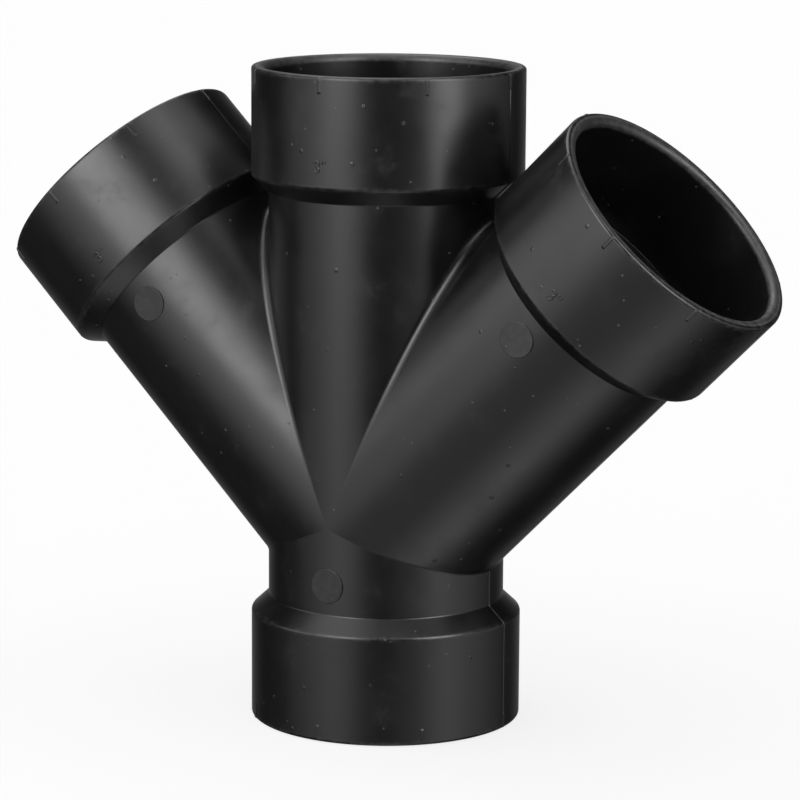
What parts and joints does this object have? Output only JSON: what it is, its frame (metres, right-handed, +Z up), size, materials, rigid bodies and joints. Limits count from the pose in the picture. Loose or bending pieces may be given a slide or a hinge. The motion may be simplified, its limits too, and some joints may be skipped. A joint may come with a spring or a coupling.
{
  "type": "double wye fitting",
  "caption": "Moulded black plastic drain fitting: a straight run with a branch leaning out at 45 degrees on each side, every end a pipe socket.",
  "frame": {"origin": "centre of the lower mouth's face, on the axis of the straight run", "axes": "+Z up along the straight run, +X towards the right-hand branch, -Y towards the side with the size marks"},
  "size_m": [0.2986, 0.0996, 0.2394],
  "materials": {
    "black_plastic": "satin, as moulded"
  },
  "bodies": {
    "root": {"fitting_body": "black_plastic"}
  },
  "joints": []
}
